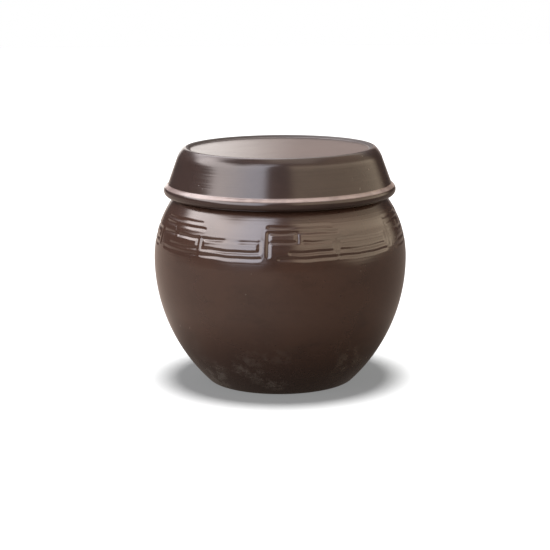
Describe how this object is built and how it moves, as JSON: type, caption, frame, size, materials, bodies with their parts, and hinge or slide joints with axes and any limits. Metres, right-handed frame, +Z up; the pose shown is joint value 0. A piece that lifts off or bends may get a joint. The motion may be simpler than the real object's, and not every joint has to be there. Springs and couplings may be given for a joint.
{
  "type": "onggi jar",
  "caption": "Glazed earthenware storage jar with a round belly, a narrow foot, an incised fret band and a loose capped lid.",
  "frame": {"origin": "centre of the flat foot, on the surface that the jar stands on", "axes": "+Z up along the axis of the jar; -Y towards the front, where the pictured part of the fret band is"},
  "size_m": [0.3, 0.3, 0.2801],
  "materials": {
    "jar_glaze": "gloss",
    "lid_glaze": "gloss"
  },
  "bodies": {
    "jar": {"jar": "jar_glaze"},
    "lid": {"lid": "lid_glaze"}
  },
  "joints": [
    {"name": "lid_lift", "type": "slide", "parent": "jar", "child": "lid", "axis": [0, 0, 1], "range_m": [0, 0.12]}
  ]
}
